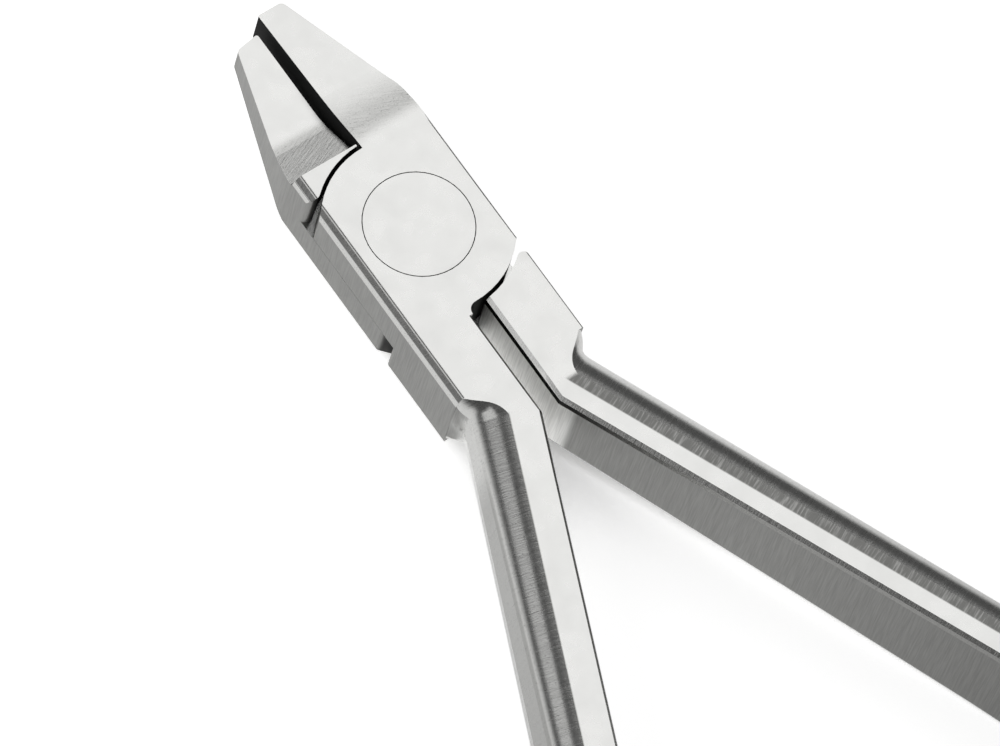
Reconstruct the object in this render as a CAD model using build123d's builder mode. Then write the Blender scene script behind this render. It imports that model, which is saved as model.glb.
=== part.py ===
"""Orthodontic pliers with a lap joint, drawn in millimetres.

Two forged halves cross at a lap joint and turn on one large flush screw. Each half is a beak, a half-thick
lap plate and a handle. +Y runs along the tool to the beak tips, +Z is the pivot axis and points out of the
face with the screw head, and the origin is on the pivot axis at the rear face of the joint.

The halves lie lapped as a pair turned half a turn about the Y axis, so both are drawn in one "own" frame:
own +Z is the side that carries the half's lap plate, own +X is its beak side and own -X its handle side.
"""

import os
from math import cos, degrees, radians, sin, sqrt

from build123d import *

# Joint block
joint_thickness = 9.2
joint_left = 7.25
joint_right = 7.05
joint_tail = 16.5
lap_offset = -0.7
lap_radius = 9.12
lap_clearance = 0.4
lap_gap = 0.04
bevel_width = 0.59
bevel_drop = 1.37
bevel_steep_width = 0.13
bevel_steep_drop = 0.71
bevel_round = 0.35
edge_round_fine = 0.2
plate_corner_round = 1.2
shoulder_corner_round = 0.65
slot_corner_round = 0.9
throat_round = 0.25

# Pivot screw: flush head, journal that the front half turns on, shank held in the rear half
head_diameter = 10.5
head_height = 2.0
head_gap = 0.1
journal_diameter = 7.4
shank_diameter = 6.0
running_gap = 0.04
thread_gap = 0.02

# Slot between the two handle shoulders, measured from the tool's axis to each wall
front_slot_wall = 0.98
rear_slot_wall = 0.88

# Inner edges of slot and handles: a chamfer at 45 degrees, then a steep narrow facet down to the wall
front_inner_chamfer = 0.25
rear_inner_chamfer = 0.36
inner_facet_width = 0.15
inner_facet_drop = 0.45

# Handles
root_length = 4.8
root_steps = 6
handle_angle = 24.0
handle_root_width = 6.6
handle_width = 6.35
handle_strip = 3.25
handle_crease_drop = 2.3
handle_root_thickness = 9.1
handle_bulge_thickness = 12.5
handle_end_thickness = 10.6
handle_straight = 46.0
bow_radius = 100.0
bow_turn = 27.0
end_round = 3.2
side_draft = 8.0
joint_draft = 1.0
back_tilt = 7.0
joint_tilt = 45.0
bow_steps = 12
palm_share = 0.56
round_shares = (1, 0.75, 0.5, 0.3, 0.15, 0.05, 0)
end_flat_share = 0.45

# Front half's beak: long and thick, its faces run smoothly out of the joint faces
front_beak_tip = 26.2
front_beak_heel = -0.23
front_beak_gap = 0.4
front_tip_width = 2.75
front_taper_run = 3.28
front_crest_run = 1.8
front_crest_round = 12.0
front_ramp_start = 9.6
front_ramp_foot = 13.4
front_ramp_drop = 1.05
front_tip_drop = 2.82
front_back_tip_drop = 2.45
front_ramp_blend = 30.0

# Rear half's beak: shorter and thinner, set down from the front face by a step and tapered at the back
rear_beak_tip = 24.8
rear_beak_heel = 0.35
rear_beak_gap = 0.58
rear_relief_start = 10.2
rear_relief_end = 13.2
rear_relief_round = 8.0
rear_tip_width = 2.55
rear_tip_skew = 0.42
rear_taper_run = 1.08
rear_step_start = 9.72
rear_step_run = 0.15
rear_step_drop = 1.6
rear_ramp_foot = 14.4
rear_tip_drop = 3.05
rear_ramp_blend = 7.0
rear_step_fillet = 0.3
rear_back_start = 9.4
rear_back_foot = 11.0
rear_back_drop = 0.75
rear_back_tip_drop = 3.65
rear_back_blend = 9.0

tip_corner_round = 0.6
tip_inner_round = 0.25
cheek_round = 6.0

# All cuts run past the material by this much
overrun = 2.0

half_thickness = joint_thickness / 2
lap_edge = lap_radius + lap_clearance
front = 1
rear = -1


def plan_plane(face, height=0.0):
    """Plane across the pivot axis, at a height above the lap, in the own frame of one half."""
    return Plane(origin=(0, 0, half_thickness + face * height), x_dir=(face, 0, 0), z_dir=(0, 0, face))


def side_plane(face):
    """Lengthwise plane: its x runs to the tips and its y to the half's own lap plate side."""
    return Plane(origin=(0, 0, half_thickness), x_dir=(0, 1, 0), z_dir=(face, 0, 0))


def cross_plane(face, x, y, angle):
    """Plane across a handle at an own point, x outwards, for a handle that leaves at an angle."""
    turn = radians(angle)
    return Plane(
        origin=(face * x, y, half_thickness),
        x_dir=(-face * cos(turn), sin(turn), 0),
        z_dir=(face * sin(turn), cos(turn), 0),
    )


def blade_section(plane, chamfer_size, strip, half, width, crease_drop, tilt, draft, scale=1.0):
    """Closed section: flat inner wall with broken edges, flat strips, a round back and a drafted side.

    crease_drop is how far below the flat the back's arc meets the side, tilt is the arc's first slope and
    draft is the slope of the side.
    """
    shift = (1 - scale) * width / 2
    top = half * scale
    crease = (half - crease_drop) * scale
    side_x = width * scale + shift
    crease_x = side_x - crease * sin(radians(draft))
    strip_x = strip * scale + shift
    facet = inner_facet_width * scale
    edge = facet + chamfer_size * scale
    chamfer_z = top - chamfer_size * scale
    facet_z = chamfer_z - inner_facet_drop * scale
    slope = (cos(radians(tilt)), sin(radians(tilt)))
    with BuildSketch(plane) as section:
        with BuildLine():
            TangentArc((strip_x, top), (crease_x, crease), tangent=(slope[0], -slope[1]))
            Polyline((crease_x, crease), (side_x, 0), (crease_x, -crease))
            TangentArc((strip_x, -top), (crease_x, -crease), tangent=slope)
            Polyline(
                (strip_x, -top),
                (shift + edge, -top),
                (shift + facet, -chamfer_z),
                (shift, -facet_z),
                (shift, facet_z),
                (shift + facet, chamfer_z),
                (shift + edge, top),
                (strip_x, top),
            )
        make_face()
    return section.sketch


def handle_section(plane, chamfer_size, thickness, scale=1.0):
    """Section of a handle: a round back with drafted sides, a flat inner wall and flat strips."""
    return blade_section(
        plane,
        chamfer_size,
        handle_strip,
        thickness / 2,
        handle_width,
        handle_crease_drop,
        back_tilt,
        side_draft,
        scale,
    )


def thickness_at(share):
    """Handle thickness along its length: it swells from the root to the palm, then slims to the end."""
    if share < palm_share:
        return handle_root_thickness + (handle_bulge_thickness - handle_root_thickness) * share / palm_share
    slim = (share - palm_share) / (1 - palm_share)
    return handle_bulge_thickness + (handle_end_thickness - handle_bulge_thickness) * slim**2


def add_handle(face, slot_wall, flank, chamfer_size):
    """Handle of one half: hollow-ground root, straight shank, and a bowed grip with a rounded end.

    Through the root the outer side leaves the block's flank and runs into the straight handle's side.
    """
    turn = radians(handle_angle)
    block_width = flank - slot_wall
    ledge = block_width - (handle_root_width - root_length * sin(turn)) / cos(turn)
    root = []
    for step in range(root_steps + 1):
        share = step / root_steps
        left_share = (1 - share) ** 2
        angle = handle_angle * share * share * (3 - 2 * share)
        side_width = handle_root_width - root_length * (1 - share) * sin(turn)
        root.append(
            blade_section(
                cross_plane(face, -slot_wall, -joint_tail - root_length * share, angle),
                chamfer_size,
                (block_width - bevel_width) * left_share + handle_strip * (1 - left_share),
                (joint_thickness * left_share + handle_root_thickness * (1 - left_share)) / 2,
                side_width / cos(turn - radians(angle)) + ledge * left_share,
                bevel_drop * left_share + handle_crease_drop * (1 - left_share),
                joint_tilt * left_share + back_tilt * (1 - left_share),
                joint_draft * left_share + side_draft * (1 - left_share),
            )
        )
    loft(root)
    root_end = root[-1]

    bow_length = bow_radius * radians(bow_turn)
    whole = handle_straight + bow_length
    bow_x = -slot_wall - handle_straight * sin(turn)
    bow_y = -joint_tail - root_length - handle_straight * cos(turn)
    bow_start = handle_section(
        cross_plane(face, bow_x, bow_y, handle_angle), chamfer_size, thickness_at(handle_straight / whole)
    )
    loft([root_end, bow_start], ruled=True)

    grip = [(step / bow_steps * (bow_length - end_round), 1) for step in range(bow_steps)]
    for share in round_shares:
        swell = end_flat_share + (1 - end_flat_share) * sqrt(1 - (1 - share) ** 2)
        grip.append((bow_length - end_round * share, swell))
    grip_sections = []
    for along, scale in grip:
        angle = handle_angle - degrees(along / bow_radius)
        x = bow_x - bow_radius * (cos(radians(angle)) - cos(turn))
        y = bow_y + bow_radius * (sin(radians(angle)) - sin(turn))
        thickness = thickness_at((handle_straight + along) / whole)
        grip_plane = cross_plane(face, x, y, angle)
        grip_sections.append(handle_section(grip_plane, chamfer_size, thickness, scale))
    loft(grip_sections, ruled=True)


def add_plan(face, slot_wall, handle_flank, beak_flank, beak, beak_radii):
    """The half's outline in plan: lap plate on its own side, and shoulder and beak on both sides of it."""
    lap = face * lap_offset
    own = lap + lap_gap / 2
    across = lap - lap_gap / 2
    with BuildSketch(plan_plane(face, own)) as plate:
        Circle(lap_radius)
        with Locations(((beak_flank - handle_flank) / 2, 0)):
            Rectangle(handle_flank + beak_flank, 2 * lap_radius, mode=Mode.INTERSECT)
        with Locations((-(handle_flank + slot_wall) / 2, -joint_tail / 2)):
            Rectangle(handle_flank - slot_wall, joint_tail)
        with BuildLine():
            FilletPolyline(*beak, radius=beak_radii, close=True)
        make_face()
        corners = plate.vertices()
        slot_corner = corners.sort_by_distance((-slot_wall, -lap_radius))[0]
        throat = corners.sort_by_distance((beak[0][0], lap_radius))[0]
        handle_corner = corners.sort_by_distance((-handle_flank, sqrt(lap_radius**2 - handle_flank**2)))[0]
        beak_corner = corners.sort_by_distance((beak_flank, -sqrt(lap_radius**2 - beak_flank**2)))[0]
        fillet(slot_corner, radius=slot_corner_round)
        fillet(throat, radius=throat_round)
        fillet([handle_corner, beak_corner], radius=plate_corner_round)
    extrude(plate.sketch, amount=half_thickness - own)
    web = (across, lap_gap, False)
    shoulder = (-half_thickness, half_thickness + across, True)
    for height, depth, rounded in (web, shoulder):
        with BuildSketch(plan_plane(face, height)) as outline:
            with Locations((-(handle_flank + slot_wall) / 2, -joint_tail / 2)):
                Rectangle(handle_flank - slot_wall, joint_tail)
            with BuildLine():
                FilletPolyline(*beak, radius=beak_radii, close=True)
            make_face()
            Circle(lap_edge, mode=Mode.SUBTRACT)
            if rounded:
                corners = outline.vertices()
                handle_side = (-handle_flank, -sqrt(lap_edge**2 - handle_flank**2))
                beak_side = (beak_flank, sqrt(lap_edge**2 - beak_flank**2))
                nearest = [corners.sort_by_distance(place)[0] for place in (handle_side, beak_side)]
                fillet(nearest, radius=shoulder_corner_round)
        extrude(outline.sketch, amount=depth)


def round_bar(reach):
    """Trim the plan to the bar that the joint was ground from, with two bevelled and two fine edges."""
    left = -joint_left
    right = joint_right
    bevel_rounds = (bevel_round, bevel_round, bevel_round)
    with BuildSketch(Plane(origin=(0, -joint_tail, 0), x_dir=(1, 0, 0), z_dir=(0, -1, 0))) as bar:
        with BuildLine():
            FilletPolyline(
                (left, 0),
                (right - bevel_width, 0),
                (right - bevel_steep_width, bevel_drop - bevel_steep_drop),
                (right, bevel_drop),
                (right, joint_thickness),
                (left + bevel_width, joint_thickness),
                (left + bevel_steep_width, joint_thickness - bevel_drop + bevel_steep_drop),
                (left, joint_thickness - bevel_drop),
                radius=(edge_round_fine, *bevel_rounds, edge_round_fine, *bevel_rounds),
                close=True,
            )
        make_face()
    extrude(bar.sketch, amount=-(joint_tail + reach), mode=Mode.INTERSECT)


def face_cut(face, side, points, radii):
    """Grind one face of a beak: points are (along the tool, depth under the joint face)."""
    start = points[0][0]
    reach = points[-1][0] + overrun
    slope = [(y, side * (half_thickness - drop)) for y, drop in points[:-1]]
    slope.append((reach, side * (half_thickness - points[-1][1])))
    above = side * (half_thickness + overrun)
    with BuildSketch(side_plane(face)) as ground:
        with BuildLine():
            FilletPolyline(
                *slope,
                (reach, above),
                (start, above),
                radius=(0, *radii, 0, 0, 0),
                close=True,
            )
        make_face()
    extrude(ground.sketch, amount=joint_left + overrun, both=True, mode=Mode.SUBTRACT)


def break_slot_edges(face, slot_wall, chamfer_size):
    """Break the two long edges of the slot wall, in line with the handle's inner edges."""
    for side, end in ((1, -lap_radius - slot_corner_round), (-1, -lap_radius)):
        top = side * half_thickness
        chamfer_z = top - side * chamfer_size
        facet_z = chamfer_z - side * inner_facet_drop
        with BuildSketch(cross_plane(face, -slot_wall, -joint_tail, 0)) as edge:
            with BuildLine():
                Polyline(
                    (-overrun, top + side * overrun),
                    (inner_facet_width + chamfer_size, top + side * overrun),
                    (inner_facet_width + chamfer_size, top),
                    (inner_facet_width, chamfer_z),
                    (0, facet_z),
                    (-overrun, facet_z),
                    close=True,
                )
            make_face()
        extrude(edge.sketch, amount=joint_tail + end, mode=Mode.SUBTRACT)


# Front half: front lap plate with the screw's counterbore, beak on the right, handle on the left
front_beak = [
    (front_beak_heel, 0),
    (joint_right, 0),
    (joint_right, lap_edge + front_taper_run),
    (front_beak_gap + front_tip_width, front_beak_tip),
    (front_beak_gap, front_beak_tip),
]
with BuildPart() as front_half:
    add_plan(
        front,
        front_slot_wall,
        joint_left,
        joint_right,
        front_beak,
        (0, 0, cheek_round, tip_corner_round, tip_inner_round),
    )
    round_bar(front_beak_tip + overrun)
    break_slot_edges(front, front_slot_wall, front_inner_chamfer)
    for side, tip_drop in ((front, front_tip_drop), (rear, front_back_tip_drop)):
        face_cut(
            front,
            side,
            [
                (front_ramp_start - front_crest_run, 0),
                (front_ramp_start, 0),
                (front_ramp_foot, front_ramp_drop),
                (front_beak_tip, tip_drop),
            ],
            (front_crest_round, front_ramp_blend),
        )
    add_handle(front, front_slot_wall, joint_left, front_inner_chamfer)
    with BuildSketch(plan_plane(front, half_thickness)):
        Circle(journal_diameter / 2 + running_gap)
    extrude(amount=-joint_thickness, mode=Mode.SUBTRACT)
    with BuildSketch(plan_plane(front, half_thickness)):
        Circle(head_diameter / 2 + head_gap)
    extrude(amount=-(head_height + running_gap), mode=Mode.SUBTRACT)
front_half.part.label = "front_half"

# Rear half: rear lap plate that holds the screw's shank, beak on the left, handle on the right
rear_beak = [
    (rear_beak_heel, 0),
    (joint_left, 0),
    (joint_left, lap_edge + rear_taper_run),
    (rear_beak_gap + rear_tip_width, rear_beak_tip - rear_tip_skew),
    (rear_beak_gap, rear_beak_tip),
    (rear_beak_gap, rear_relief_end),
    (rear_beak_heel, rear_relief_start),
]
with BuildPart() as rear_half:
    add_plan(
        rear,
        rear_slot_wall,
        joint_right,
        joint_left,
        rear_beak,
        (0, 0, cheek_round, tip_corner_round, tip_inner_round, rear_relief_round, 0),
    )
    round_bar(rear_beak_tip + overrun)
    break_slot_edges(rear, rear_slot_wall, rear_inner_chamfer)
    face_cut(
        rear,
        rear,
        [
            (rear_step_start, 0),
            (rear_step_start + rear_step_run, rear_step_drop),
            (rear_ramp_foot, rear_tip_drop),
            (rear_beak_tip, rear_tip_drop),
        ],
        (rear_step_fillet, rear_ramp_blend),
    )
    face_cut(
        rear,
        front,
        [
            (rear_back_start, 0),
            (rear_back_foot, rear_back_drop),
            (rear_beak_tip, rear_back_tip_drop),
        ],
        (rear_back_blend,),
    )
    add_handle(rear, rear_slot_wall, joint_right, rear_inner_chamfer)
    with BuildSketch(plan_plane(rear, half_thickness)):
        Circle(shank_diameter / 2 + thread_gap)
    extrude(amount=-joint_thickness, mode=Mode.SUBTRACT)
rear_half.part.label = "rear_half"

# Pivot screw: turned in one piece, head flush with the front face and shank flush with the rear face
lap_height = half_thickness + lap_offset - lap_gap / 2
with BuildPart() as pivot_screw:
    with BuildSketch(Plane.XY):
        Circle(shank_diameter / 2)
    extrude(amount=lap_height)
    with BuildSketch(Plane.XY.offset(lap_height)):
        Circle(journal_diameter / 2)
    extrude(amount=joint_thickness - head_height - lap_height)
    with BuildSketch(Plane.XY.offset(joint_thickness - head_height)):
        Circle(head_diameter / 2)
    extrude(amount=head_height)
pivot_screw.part.label = "pivot_screw"

os.makedirs("parts", exist_ok=True)
export_step(front_half.part, "parts/front_half.step")
export_step(rear_half.part, "parts/rear_half.step")
export_step(pivot_screw.part, "parts/pivot_screw.step")
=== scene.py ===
import math

import bpy
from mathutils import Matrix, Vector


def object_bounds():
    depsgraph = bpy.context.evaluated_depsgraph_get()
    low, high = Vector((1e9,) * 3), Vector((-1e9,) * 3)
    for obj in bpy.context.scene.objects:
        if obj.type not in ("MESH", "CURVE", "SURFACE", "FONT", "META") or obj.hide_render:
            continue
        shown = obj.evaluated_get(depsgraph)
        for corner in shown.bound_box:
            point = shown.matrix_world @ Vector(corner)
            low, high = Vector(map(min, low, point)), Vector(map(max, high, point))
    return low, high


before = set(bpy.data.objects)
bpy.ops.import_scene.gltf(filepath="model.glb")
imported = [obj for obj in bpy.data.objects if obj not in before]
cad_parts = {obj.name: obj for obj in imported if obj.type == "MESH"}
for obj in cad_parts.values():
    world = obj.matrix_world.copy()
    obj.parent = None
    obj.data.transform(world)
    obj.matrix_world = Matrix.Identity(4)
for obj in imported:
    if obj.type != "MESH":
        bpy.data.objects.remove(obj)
cad_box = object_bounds()

bpy.ops.object.select_all(action="DESELECT")


# Front half: one forging of martensitic stainless steel with the longer beak, the lap plate and the left
# handle. Its faces are lapped smooth, its side walls are ground coarser from face to face, and the handle's
# round back is linished across, which leaves fine hairs and pits round the section.
def linear(hex_colour):
    """One sRGB hex colour as linear RGBA."""
    channels = [int(hex_colour[i:i + 2], 16) / 255 for i in (1, 3, 5)]
    return [c / 12.92 if c <= 0.04045 else ((c + 0.055) / 1.055) ** 2.4 for c in channels] + [1]


def add_node(tree, kind, out=0, settings=None, **inputs):
    """Add a node, set its properties and inputs, and return the output of the given name or number.

    An input is named by its label with _ for each space, or as i and its number. A socket is linked.
    """
    node = tree.nodes.new("ShaderNode" + kind)
    for key, value in (settings or {}).items():
        setattr(node, key, value)
    for key, value in inputs.items():
        socket = node.inputs[int(key[1:]) if key[0] == "i" and key[1:].isdigit() else key.replace("_", " ")]
        if isinstance(value, bpy.types.NodeSocket):
            tree.links.new(value, socket)
        else:
            socket.default_value = value
    return node.outputs[out] if node.outputs else None


def ground_stainless(name, handle_turn, inward, unshaded_strip):
    """Satin stainless steel: smooth pale faces, coarser side walls and a linished, finely pitted back, with
    painted shade on the side walls, in the narrow gaps, on a steep facet and on parts of the handle, and a
    painted reflection on the slot's walls.

    handle_turn is the handle's angle in plan in degrees, so that the hairs run across it. inward is the x
    side, 1 or -1, that the piece's inner walls face. unshaded_strip is how far from the inner wall the
    handle's faces are left without painted shade, past which a band of painted shade starts, with the
    linishing hairs over it.
    """
    face_colour = linear("#EAEAE8")
    # Side walls: darker partly for their coarser grinding and partly as painted shade
    wall_grind_and_shade_colour = linear("#8F8F8D")
    # Painted reflection: pale colour for the slot's walls, for the bright floor they mirror
    slot_reflection_colour = linear("#E4E4E2")
    # Painted shade for the band of the handle's faces past the strip
    band_shade_colour = linear("#767674")
    back_colour = linear("#C9C9C7")
    # Painted shade for the steeper lower sides of the handle's round back
    flank_shade_colour = linear("#A2A2A0")
    pit_colour = linear("#5A5A58")
    # Painted shade: near black for the shadow in the gaps between the beaks and in the lap
    gap_shade_colour = linear("#0B0B0B")
    # Painted shade for the steep facet under the slot's edge
    facet_shade_colour = linear("#3A3A39")

    # A grit 120 belt leaves hairs about 0.1 mm apart. They are drawn 0.17 mm apart, and the wall lines and
    # pits about 0.15 mm, as coarse as they need to be to show.
    hair_pitch = 0.00017
    hair_length = 0.0022
    wall_line_pitch = 0.00014
    wall_line_length = 0.004
    pit_size = 0.00016
    cloud_size = 0.0022
    hair_relief = 0.00002

    # Places and widths of the finishes and of the painted shade and reflection, in metres from the pivot or
    # from the handle's inner wall
    beak_start = 0.0095
    beak_gap_reach = 0.0012
    lap_radius = 0.00935
    lap_gap_half = 0.00035
    joint_side = 0.0072
    slot_reach = 0.0018
    slot_start = -0.0094
    slot_fade = 0.0004
    line_full = -0.021
    line_end = -0.030
    root_end = -0.0196
    root_fade = 0.0006
    strip_fade = 0.0002
    flank_start = -0.0215
    flank_full = -0.026
    band_shade_width = 0.0026
    wall_offset = (0.00088, -0.0213, 0)

    # Shares of a normal that point up or inwards, at which a finish or a painted shade starts and at which it
    # is complete
    face_tilt = (0.97, 0.995)
    wall_tilt = (0.135, 0.03)
    flank_tilt = (0.52, 0.42)
    line_turn = (0.5, 0.7)
    line_steep_side = (0.25, 0.29)
    line_flat_side = (0.40, 0.36)

    # Roughness of each finish, from its smoothest to its coarsest place
    back_roughness = (0.19, 0.29)
    face_roughness = (0.26, 0.31)
    wall_roughness = 0.42
    gap_shade_roughness = 0.9

    # Noise values between which a pattern shows, and how strongly it does
    noise_span = (0.3, 0.7)
    pit_span = (0.58, 0.72)
    pit_strength = 0.45
    hair_span = (0.45, 0.75)
    hair_strength = 0.5
    relief_strength = 0.6
    wall_line_tones = (0.86, 1.1)

    material = bpy.data.materials.new(name)
    material.use_nodes = True
    tree = material.node_tree
    tree.nodes.clear()

    # Where a point lies, which way it faces, and what share of it is a flat face or an upright wall
    soft = {"interpolation_type": "SMOOTHSTEP"}
    product = {"operation": "MULTIPLY"}
    spot = add_node(tree, "TexCoord", "Object")
    x = add_node(tree, "SeparateXYZ", "X", Vector=spot)
    y = add_node(tree, "SeparateXYZ", "Y", Vector=spot)
    normal = add_node(tree, "TexCoord", "Normal")
    normal_x = add_node(tree, "SeparateXYZ", "X", Vector=normal)
    normal_z = add_node(tree, "SeparateXYZ", "Z", Vector=normal)
    upright = add_node(tree, "Math", 0, {"operation": "ABSOLUTE"}, i0=normal_z)
    towards = add_node(tree, "Math", 0, product, i0=normal_x, i1=inward)
    face_share = add_node(
        tree, "MapRange", 0, soft, Value=upright, From_Min=face_tilt[0], From_Max=face_tilt[1]
    )
    wall_share = add_node(
        tree, "MapRange", 0, soft, Value=upright, From_Min=wall_tilt[0], From_Max=wall_tilt[1]
    )

    # Hairs across the handle, lines from face to face on the walls, pits and clouds
    across = add_node(
        tree, "Mapping", 0, {"vector_type": "TEXTURE"}, Vector=spot,
        Rotation=(0, 0, math.radians(-handle_turn)), Scale=(hair_length, hair_pitch, hair_length),
    )
    hairs = add_node(tree, "TexNoise", "Fac", Vector=across, Scale=1.0, Detail=3.0, Roughness=0.62)
    upwards = add_node(
        tree, "Mapping", 0, {"vector_type": "TEXTURE"}, Vector=spot,
        Scale=(wall_line_pitch, wall_line_pitch, wall_line_length),
    )
    wall_lines = add_node(tree, "TexNoise", "Fac", Vector=upwards, Scale=1.0, Detail=2.0, Roughness=0.5)
    pits = add_node(tree, "TexNoise", "Fac", Vector=spot, Scale=1 / pit_size, Detail=2.0, Roughness=0.6)
    clouds = add_node(tree, "TexNoise", "Fac", Vector=spot, Scale=1 / cloud_size, Detail=4.0, Roughness=0.55)

    # Painted shade: the walls between the beaks and in the lap's gap are painted near black, dull and not
    # metallic, for the shadow deep in those narrow gaps
    off_axis = add_node(tree, "Math", 0, {"operation": "ABSOLUTE"}, i0=x)
    beak_near = add_node(
        tree, "MapRange", 0, soft, Value=y, From_Min=beak_start, From_Max=beak_start + lap_gap_half
    )
    beak_close = add_node(
        tree, "MapRange", 0, soft,
        Value=off_axis, From_Min=beak_gap_reach, From_Max=beak_gap_reach - lap_gap_half,
    )
    beak_wall = add_node(tree, "Math", 0, product, i0=beak_near, i1=beak_close)
    plan_spot = add_node(tree, "CombineXYZ", 0, X=x, Y=y)
    from_pivot = add_node(tree, "VectorMath", "Value", {"operation": "LENGTH"}, i0=plan_spot)
    past_lap = add_node(tree, "Math", 0, {"operation": "SUBTRACT"}, i0=from_pivot, i1=lap_radius)
    off_lap = add_node(tree, "Math", 0, {"operation": "ABSOLUTE"}, i0=past_lap)
    lap_near = add_node(
        tree, "MapRange", 0, soft, Value=off_lap, From_Min=lap_gap_half, From_Max=lap_gap_half / 2
    )
    lap_inside = add_node(
        tree, "MapRange", 0, soft, Value=off_axis, From_Min=joint_side, From_Max=joint_side - lap_gap_half
    )
    lap_wall = add_node(tree, "Math", 0, product, i0=lap_near, i1=lap_inside)
    hidden = add_node(tree, "Math", 0, {"operation": "MAXIMUM"}, i0=beak_wall, i1=lap_wall)
    gap_shade_share = add_node(tree, "Math", 0, product, i0=hidden, i1=wall_share)

    # Painted shade: the steep facet under the slot's edge is painted dark, and this shade runs out down the
    # handle
    line_inward = add_node(
        tree, "MapRange", 0, soft, Value=towards, From_Min=line_turn[0], From_Max=line_turn[1]
    )
    line_above = add_node(
        tree, "MapRange", 0, soft, Value=upright, From_Min=line_steep_side[0], From_Max=line_steep_side[1]
    )
    line_below = add_node(
        tree, "MapRange", 0, soft, Value=upright, From_Min=line_flat_side[0], From_Max=line_flat_side[1]
    )
    line_steep = add_node(tree, "Math", 0, product, i0=line_above, i1=line_below)
    line_high = add_node(tree, "MapRange", 0, soft, Value=y, From_Min=line_end, From_Max=line_full)
    line_near = add_node(tree, "Math", 0, product, i0=line_inward, i1=line_high)
    facet_shade_share = add_node(tree, "Math", 0, product, i0=line_near, i1=line_steep)

    # Painted reflection: the walls of the slot between the roots are painted pale, for the bright floor they
    # mirror
    slot_close = add_node(
        tree, "MapRange", 0, soft, Value=off_axis, From_Min=slot_reach, From_Max=slot_reach - slot_fade
    )
    slot_below = add_node(
        tree, "MapRange", 0, soft, Value=y, From_Min=slot_start, From_Max=slot_start - slot_fade
    )
    slot_reflection_share = add_node(tree, "Math", 0, product, i0=slot_close, i1=slot_below)

    # Painted shade: a dark band on the handle's faces past the strip, with the real linishing hairs over it
    turn = math.radians(abs(handle_turn))
    handle_spot = add_node(
        tree, "VectorMath", "Vector", {"operation": "SUBTRACT"},
        i0=spot, i1=(-inward * wall_offset[0], wall_offset[1], wall_offset[2]),
    )
    from_wall = add_node(
        tree, "VectorMath", "Value", {"operation": "DOT_PRODUCT"},
        i0=handle_spot, i1=(-inward * math.cos(turn), math.sin(turn), 0),
    )
    below_root = add_node(
        tree, "MapRange", 0, soft, Value=y, From_Min=root_end, From_Max=root_end - root_fade
    )
    past_strip = add_node(
        tree, "MapRange", 0, soft, Value=from_wall, From_Min=unshaded_strip, From_Max=unshaded_strip + strip_fade
    )
    before_back = add_node(
        tree, "MapRange", 0, soft,
        Value=from_wall, From_Min=unshaded_strip + band_shade_width, From_Max=unshaded_strip + band_shade_width / 2,
    )
    on_band = add_node(tree, "Math", 0, product, i0=past_strip, i1=before_back)
    band_shade_share = add_node(tree, "Math", 0, product, i0=below_root, i1=on_band)

    # Colour
    pitted = add_node(
        tree, "MapRange", 0, soft, Value=pits, From_Min=pit_span[0], From_Max=pit_span[1], To_Max=pit_strength
    )
    haired = add_node(
        tree, "MapRange", 0, soft,
        Value=hairs, From_Min=hair_span[0], From_Max=hair_span[1], To_Max=hair_strength,
    )
    mixed = {"data_type": "RGBA"}
    # Painted shade: the steeper sides of the handle's round back are darker down the handle
    flank_low = add_node(
        tree, "MapRange", 0, soft, Value=upright, From_Min=flank_tilt[0], From_Max=flank_tilt[1]
    )
    flank_past = add_node(tree, "MapRange", 0, soft, Value=y, From_Min=flank_start, From_Max=flank_full)
    flank_shade_share = add_node(tree, "Math", 0, product, i0=flank_low, i1=flank_past)
    back = add_node(tree, "Mix", 2, mixed, i0=flank_shade_share, i6=back_colour, i7=flank_shade_colour)
    back = add_node(tree, "Mix", 2, mixed, i0=pitted, i6=back, i7=pit_colour)
    back = add_node(tree, "Mix", 2, mixed, i0=slot_reflection_share, i6=back, i7=slot_reflection_colour)
    hairs_on_band_shade = add_node(tree, "Mix", 2, mixed, i0=haired, i6=band_shade_colour, i7=back_colour)
    face = add_node(tree, "Mix", 2, mixed, i0=band_shade_share, i6=face_colour, i7=hairs_on_band_shade)
    wall = add_node(tree, "Mix", 2, mixed, i0=slot_reflection_share, i6=wall_grind_and_shade_colour, i7=slot_reflection_colour)
    ground = add_node(tree, "Mix", 2, mixed, i0=face_share, i6=back, i7=face)
    ground = add_node(tree, "Mix", 2, mixed, i0=wall_share, i6=ground, i7=wall)
    ground = add_node(tree, "Mix", 2, mixed, i0=facet_shade_share, i6=ground, i7=facet_shade_colour)
    ground = add_node(tree, "Mix", 2, mixed, i0=gap_shade_share, i6=ground, i7=gap_shade_colour)
    line_tone = add_node(
        tree, "MapRange", 0, Value=wall_lines, From_Min=noise_span[0], From_Max=noise_span[1],
        To_Min=wall_line_tones[0], To_Max=wall_line_tones[1],
    )
    tone = add_node(tree, "Mix", 2, mixed, i0=wall_share, i6=(1, 1, 1, 1), i7=line_tone)
    toned = add_node(
        tree, "Mix", 2, {"data_type": "RGBA", "blend_type": "MULTIPLY"}, i0=1.0, i6=ground, i7=tone
    )

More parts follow.
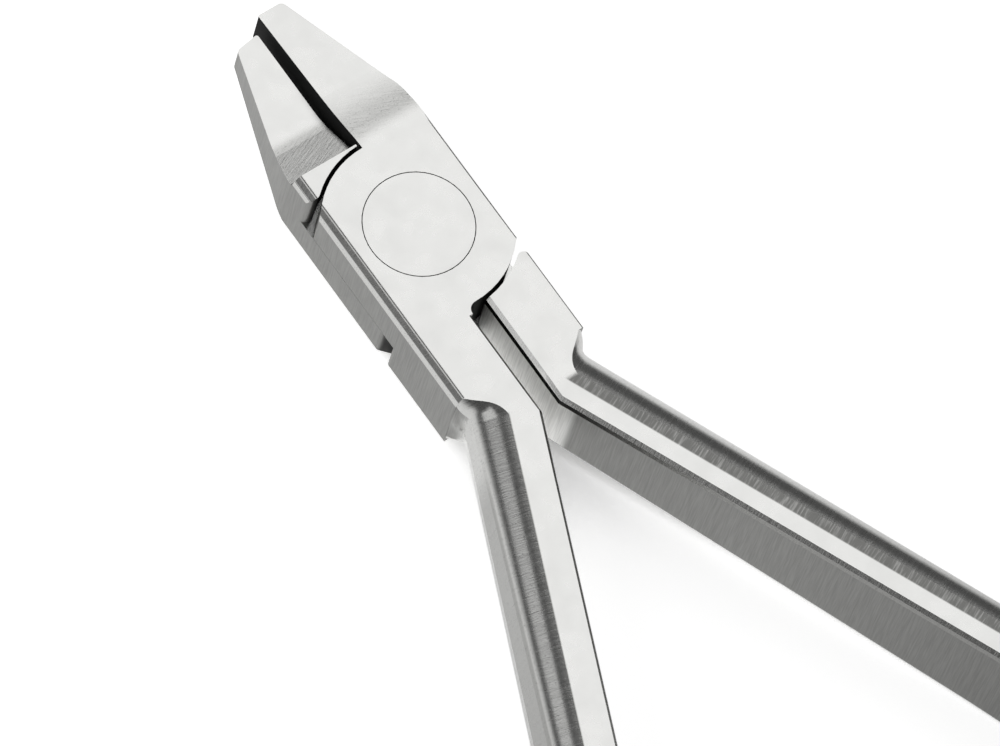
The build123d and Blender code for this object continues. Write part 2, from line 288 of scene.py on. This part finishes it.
    # Gloss and relief
    back_gloss = add_node(
        tree, "MapRange", 0, Value=hairs, From_Min=noise_span[0], From_Max=noise_span[1],
        To_Min=back_roughness[0], To_Max=back_roughness[1],
    )
    face_gloss = add_node(
        tree, "MapRange", 0, Value=clouds, From_Min=noise_span[0], From_Max=noise_span[1],
        To_Min=face_roughness[0], To_Max=face_roughness[1],
    )
    gloss = add_node(tree, "Mix", 0, i0=face_share, i2=back_gloss, i3=face_gloss)
    gloss = add_node(tree, "Mix", 0, i0=wall_share, i2=gloss, i3=wall_roughness)
    gloss = add_node(tree, "Mix", 0, i0=gap_shade_share, i2=gloss, i3=gap_shade_roughness)
    # The painted gap shade is not metallic, so that it stays dark
    outside_gap_shade = add_node(tree, "Math", 0, {"operation": "SUBTRACT"}, i0=1.0, i1=gap_shade_share)
    off_face = add_node(tree, "Math", 0, {"operation": "SUBTRACT"}, i0=1.0, i1=face_share)
    linished = add_node(tree, "Math", 0, {"operation": "MAXIMUM"}, i0=off_face, i1=band_shade_share)
    hair_depth = add_node(tree, "Math", 0, product, i0=linished, i1=relief_strength)
    relief = add_node(tree, "Bump", 0, Height=hairs, Strength=hair_depth, Distance=hair_relief)
    steel = add_node(
        tree, "BsdfPrincipled", 0, Metallic=outside_gap_shade, Base_Color=toned, Roughness=gloss, Normal=relief
    )
    add_node(tree, "OutputMaterial", Surface=steel)
    return material


handle_angle = 24
front_strip = 0.0032
front_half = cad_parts["front_half"]
front_half.data.materials.clear()
front_half.data.materials.append(ground_stainless("ground_stainless_front", handle_angle, 1, front_strip))

# Rear half: the same forging steel turned over, with the shorter beak, the hidden lap plate and the right
# handle. It is ground and linished as the front half is.
rear_strip = 0.0021
rear_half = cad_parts["rear_half"]
rear_half.data.materials.clear()
rear_half.data.materials.append(ground_stainless("ground_stainless_rear", -handle_angle, -1, rear_strip))

# Pivot screw: a turned stainless screw, driven home and then ground flush with the joint's front face, so
# only the fine ring round its head shows.
pivot_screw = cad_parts["pivot_screw"]
pivot_screw.data.materials.clear()
pivot_screw.data.materials.append(ground_stainless("ground_stainless_screw", 0, 1, front_strip))


# Floor and light: the tool lies on white paper, under one large softbox beyond the beaks and a weaker one at
# the far left. The camera sees the paper white, with the tool's shadow. The steel mirrors it too, as a pool
# of light that fades with the distance from the pivot.
floor_width = 6
paper_colour = linear("#F4F4F4")
shadow_reach = 0.018
shadow_span = (0.12, 0.42)
seen_strength = 0.8
mirrored_strength = 0.7
pool_edge = 0.13
pool_core = 0.025
world_strength = 0.10

bpy.ops.mesh.primitive_plane_add(size=floor_width, location=(0, 0, cad_box[0][2]))
floor = bpy.context.active_object
floor.name = "floor"
paper = bpy.data.materials.new("white_paper")
paper.use_nodes = True
tree = paper.node_tree
tree.nodes.clear()
open_sky = add_node(tree, "AmbientOcclusion", "AO", {"samples": 12}, Distance=shadow_reach)
open_share = add_node(
    tree, "MapRange", 0, Value=open_sky, From_Min=shadow_span[0], From_Max=shadow_span[1]
)
seen = add_node(
    tree, "Math", 0, {"operation": "MULTIPLY"},
    i0=add_node(tree, "LightPath", "Is Camera Ray"), i1=open_share,
)
seen_glow = add_node(tree, "Math", 0, {"operation": "MULTIPLY"}, i0=seen, i1=seen_strength)
mirrored = add_node(
    tree, "Math", 0, {"operation": "MAXIMUM"},
    i0=add_node(tree, "LightPath", "Is Glossy Ray"), i1=add_node(tree, "LightPath", "Is Transmission Ray"),
)
from_tool = add_node(
    tree, "VectorMath", "Value", {"operation": "LENGTH"}, i0=add_node(tree, "TexCoord", "Object")
)
pool = add_node(
    tree, "MapRange", 0, {"interpolation_type": "SMOOTHSTEP"},
    Value=from_tool, From_Min=pool_edge, From_Max=pool_core, To_Max=mirrored_strength,
)
mirrored_glow = add_node(tree, "Math", 0, {"operation": "MULTIPLY"}, i0=mirrored, i1=pool)
glow = add_node(tree, "Math", 0, {"operation": "ADD"}, i0=seen_glow, i1=mirrored_glow)
matte = add_node(tree, "BsdfDiffuse", Color=paper_colour)
lit = add_node(tree, "Emission", Color=(1, 1, 1, 1), Strength=glow)
add_node(tree, "OutputMaterial", Surface=add_node(tree, "AddShader", i0=matte, i1=lit))
floor.data.materials.append(paper)


def softbox(name, place, towards, width, height, radiance):
    """Area light of a given radiance, so that a white surface facing all of it renders white at 1."""
    bpy.ops.object.light_add(type="AREA", location=place)
    lamp = bpy.context.active_object
    lamp.name = name
    lamp.data.shape = "RECTANGLE"
    lamp.data.size = width
    lamp.data.size_y = height
    lamp.data.energy = radiance * math.pi * width * height
    direction = [a - b for a, b in zip(place, towards)]
    flat = math.hypot(direction[0], direction[1])
    lamp.rotation_euler = (math.atan2(flat, direction[2]), 0, math.atan2(direction[0], -direction[1]))
    return lamp


softbox("softbox_far", (0.28, 0.40, 0.60), (0.28, 0.40, 0), 0.46, 0.95, 1.0)
softbox("softbox_left", (-0.60, 0.19, 0.50), (0, 0, 0), 0.9, 0.60, 0.75)

world = bpy.data.worlds.new("studio")
bpy.context.scene.world = world
world.use_nodes = True
world.node_tree.nodes["Background"].inputs["Color"].default_value = (1, 1, 1, 1)
world.node_tree.nodes["Background"].inputs["Strength"].default_value = world_strength

scene = bpy.context.scene
scene.view_settings.view_transform = "Standard"

# Place and turn were solved from the pivot ring's ellipse and from corners measured in the photo
bpy.ops.object.camera_add(
    location=(-0.290143, -0.225871, 0.751545),
    rotation=[math.radians(angle) for angle in (24.2198, -8.6441, -35.4563)],
)
camera = bpy.context.active_object
camera.data.sensor_width = 36
camera.data.lens = 324
scene.camera = camera
